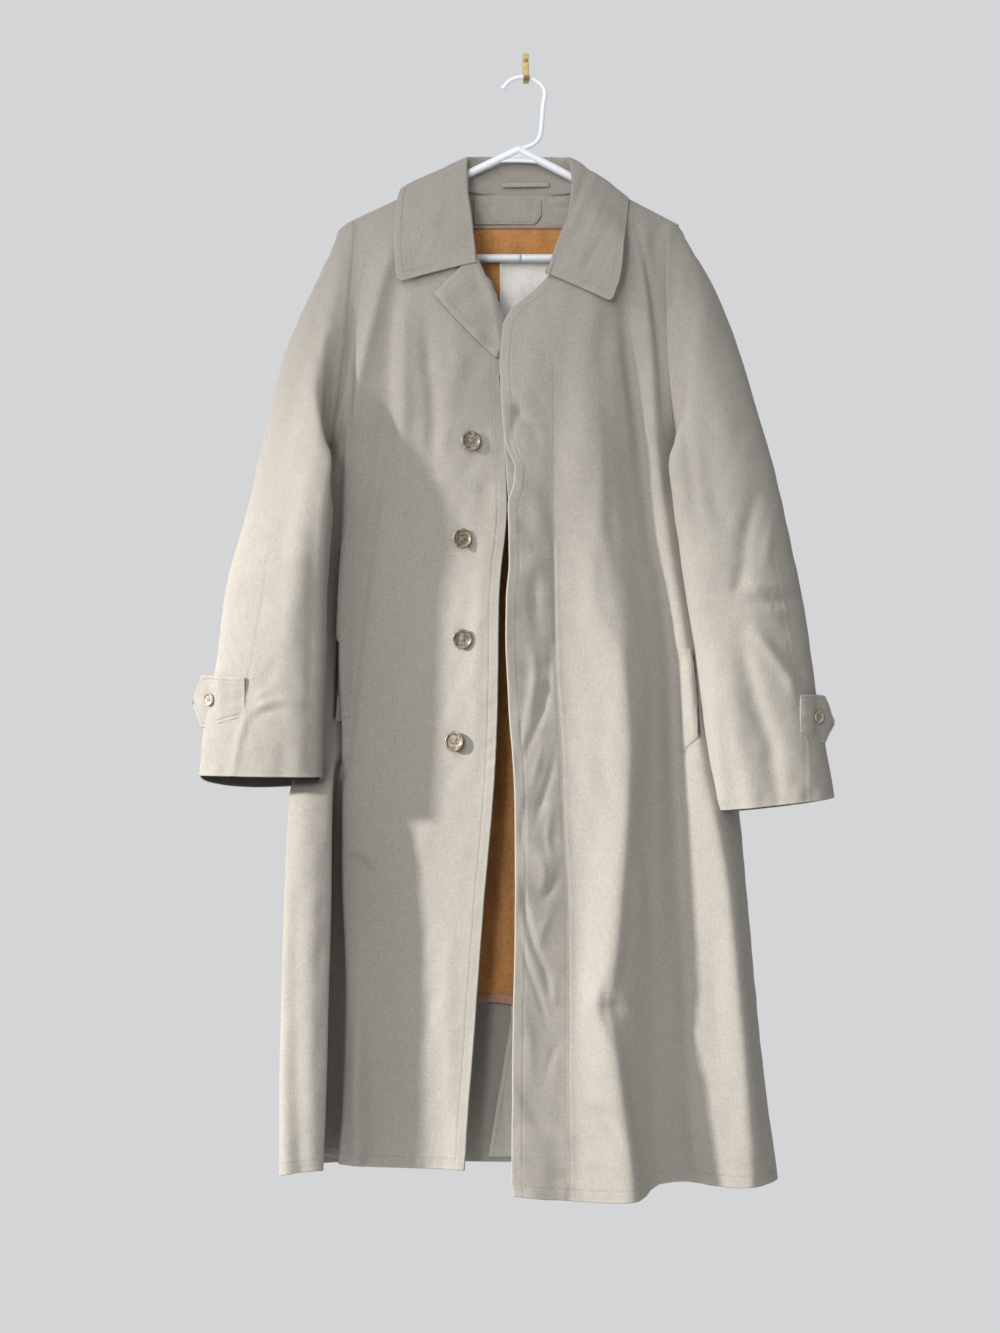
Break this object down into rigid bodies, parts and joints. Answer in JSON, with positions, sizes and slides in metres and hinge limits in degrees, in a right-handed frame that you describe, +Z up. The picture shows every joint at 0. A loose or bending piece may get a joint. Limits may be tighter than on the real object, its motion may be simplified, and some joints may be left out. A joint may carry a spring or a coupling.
{
  "type": "trench coat on hanger and wall hook",
  "caption": "Single-breasted fly-front raincoat hung open on a white plastic hanger from a small brass wall hook, with pile lining and cuff straps",
  "frame": {"origin": "middle of the wall hook's flat back face, on the wall plane y = 0", "axes": "+Z up, +X to the right when facing the wall, everything hangs in front of the wall at y < 0, so -Y faces the room"},
  "size_m": [0.7334, 0.128, 1.3118],
  "materials": {
    "coat_cloth": "closely woven cotton blend raincoat cloth, stone grey, matt",
    "lining_pile": "short rust-brown pile lining",
    "binding_tape": "dusty rose woven binding tape",
    "label_cloth": "plain woven neck label, bare",
    "hanger_plastic": "white moulded plastic tube, soft gloss",
    "brass": "brushed brass strip, slightly tarnished",
    "button_plastic": "four-hole horn-coloured plastic buttons"
  },
  "bodies": {
    "root": {"wall_hook": "brass", "wall_hook_screw": "brass", "hanger": "hanger_plastic", "front_right": "coat_cloth", "front_left": "coat_cloth", "back_right": "coat_cloth", "back_left": "coat_cloth", "sleeve_right": "coat_cloth", "sleeve_left": "coat_cloth", "collar": "coat_cloth", "lapel": "coat_cloth", "pocket_welt_right": "coat_cloth", "pocket_welt_left": "coat_cloth", "neck_facing": "coat_cloth", "neck_tab": "coat_cloth", "vent_underlap": "coat_cloth", "hanger_loop": "coat_cloth", "cuff_strap_left": "coat_cloth", "cuff_strap_right": "coat_cloth", "lining_back": "lining_pile", "lining_binding": "binding_tape", "label": "label_cloth", "button_1": "button_plastic", "button_2": "button_plastic", "button_3": "button_plastic", "button_4": "button_plastic", "cuff_button_left": "button_plastic", "cuff_button_right": "button_plastic"}
  },
  "joints": []
}
